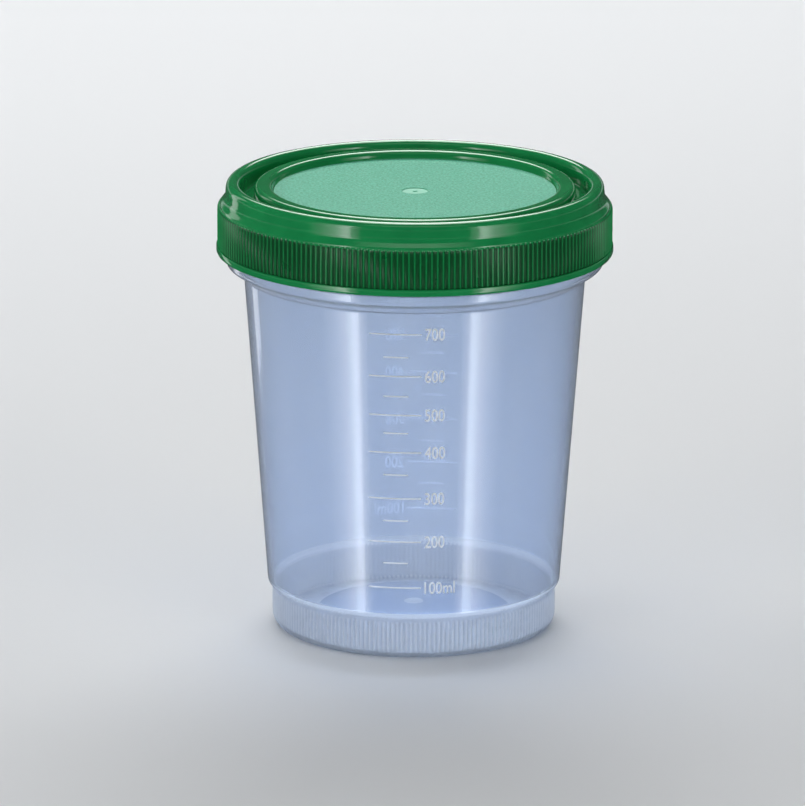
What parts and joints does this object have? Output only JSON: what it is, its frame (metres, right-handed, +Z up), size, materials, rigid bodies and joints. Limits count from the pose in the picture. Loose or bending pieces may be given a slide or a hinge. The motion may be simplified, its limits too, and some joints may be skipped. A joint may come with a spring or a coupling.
{
  "type": "histology specimen container",
  "caption": "Translucent tapered plastic specimen container with raised volume marks, a ribbed foot and a ribbed green screw lid with a double-ringed top.",
  "frame": {"origin": "centre of the foot's resting circle", "axes": "+Z up along the container's axis; -Y is the side of the graduations that the picture shows"},
  "size_m": [0.1224, 0.1224, 0.1408],
  "materials": {
    "cup_plastic": "smooth milky translucent",
    "seal_rubber": "smooth",
    "lid_plastic": "smooth gloss with a fine matte centre"
  },
  "bodies": {
    "container": {"container": "cup_plastic"},
    "seal": {"seal_ring": "seal_rubber"},
    "lid": {"lid": "lid_plastic"}
  },
  "joints": [
    {"name": "lid_lift", "type": "slide", "parent": "container", "child": "seal", "axis": [0, 0, 1], "range_m": [0, 0.0204]},
    {"name": "lid_turn", "type": "hinge", "parent": "seal", "child": "lid", "pos_m": [0, 0, 0.13], "axis": [0, 0, 1], "range_deg": [0, 1188]}
  ],
  "couplings": [
    {"joint": "lid_lift", "follows": "lid_turn", "m_per_rad": 0.00095493}
  ]
}
